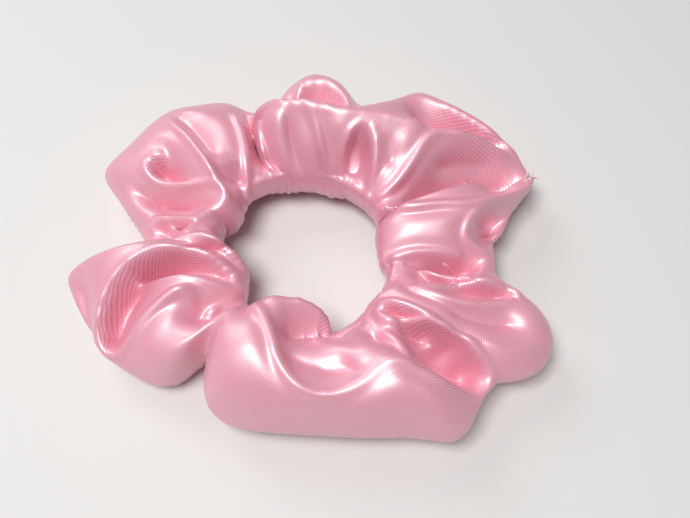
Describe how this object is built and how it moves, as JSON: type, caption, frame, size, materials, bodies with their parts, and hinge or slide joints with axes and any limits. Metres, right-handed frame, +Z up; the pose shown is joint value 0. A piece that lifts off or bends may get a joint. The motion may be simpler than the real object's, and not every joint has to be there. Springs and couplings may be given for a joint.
{
  "type": "scrunchie",
  "caption": "Hair scrunchie: a sewn tube of pink satin gathered into soft puffs round a loop of flat elastic.",
  "frame": {"origin": "on the axis of the hole, at the level of the table that the scrunchie lies on", "axes": "+Z up out of the hole, +X along the longest side, near the closing seam"},
  "size_m": [0.1124, 0.0866, 0.0318],
  "materials": {
    "satin": "satin weave with a soft sheen",
    "elastic": "knitted elastic, matt",
    "thread": "polyester sewing thread"
  },
  "bodies": {
    "right": {"cover_right": "satin", "cover_back_right": "satin", "side_seam_thread_right": "thread", "side_seam_thread_back_right": "thread", "elastic_band": "elastic", "elastic_stitching": "thread", "closing_stitching": "thread"},
    "front_left": {"cover_front_left": "satin", "side_seam_thread_front_left": "thread"},
    "back_left": {"cover_back_left": "satin", "side_seam_thread_back_left": "thread"},
    "back": {"cover_back": "satin", "side_seam_thread_back": "thread"},
    "front": {"cover_front": "satin", "side_seam_thread_front": "thread"},
    "front_right": {"cover_front_right": "satin", "side_seam_thread_front_right": "thread"}
  },
  "joints": [
    {"name": "stretch", "type": "slide", "parent": "right", "child": "front_left", "axis": [-1, 0, 0], "range_m": [0, 0.08], "stiffness_N_per_m": 50, "deforming": ["elastic_band"]},
    {"name": "gathers_open_back_left", "type": "slide", "parent": "right", "child": "back_left", "axis": [-1, 0, 0], "range_m": [0, 0.072]},
    {"name": "gathers_open_back", "type": "slide", "parent": "right", "child": "back", "axis": [-1, 0, 0], "range_m": [0, 0.04]},
    {"name": "gathers_open_front", "type": "slide", "parent": "right", "child": "front", "axis": [-1, 0, 0], "range_m": [0, 0.032]},
    {"name": "gathers_open_front_right", "type": "slide", "parent": "right", "child": "front_right", "axis": [-1, 0, 0], "range_m": [0, 0.004]}
  ],
  "couplings": [
    {"joint": "gathers_open_back_left", "follows": "stretch", "ratio": 0.9},
    {"joint": "gathers_open_back", "follows": "stretch", "ratio": 0.5},
    {"joint": "gathers_open_front", "follows": "stretch", "ratio": 0.4},
    {"joint": "gathers_open_front_right", "follows": "stretch", "ratio": 0.05}
  ]
}
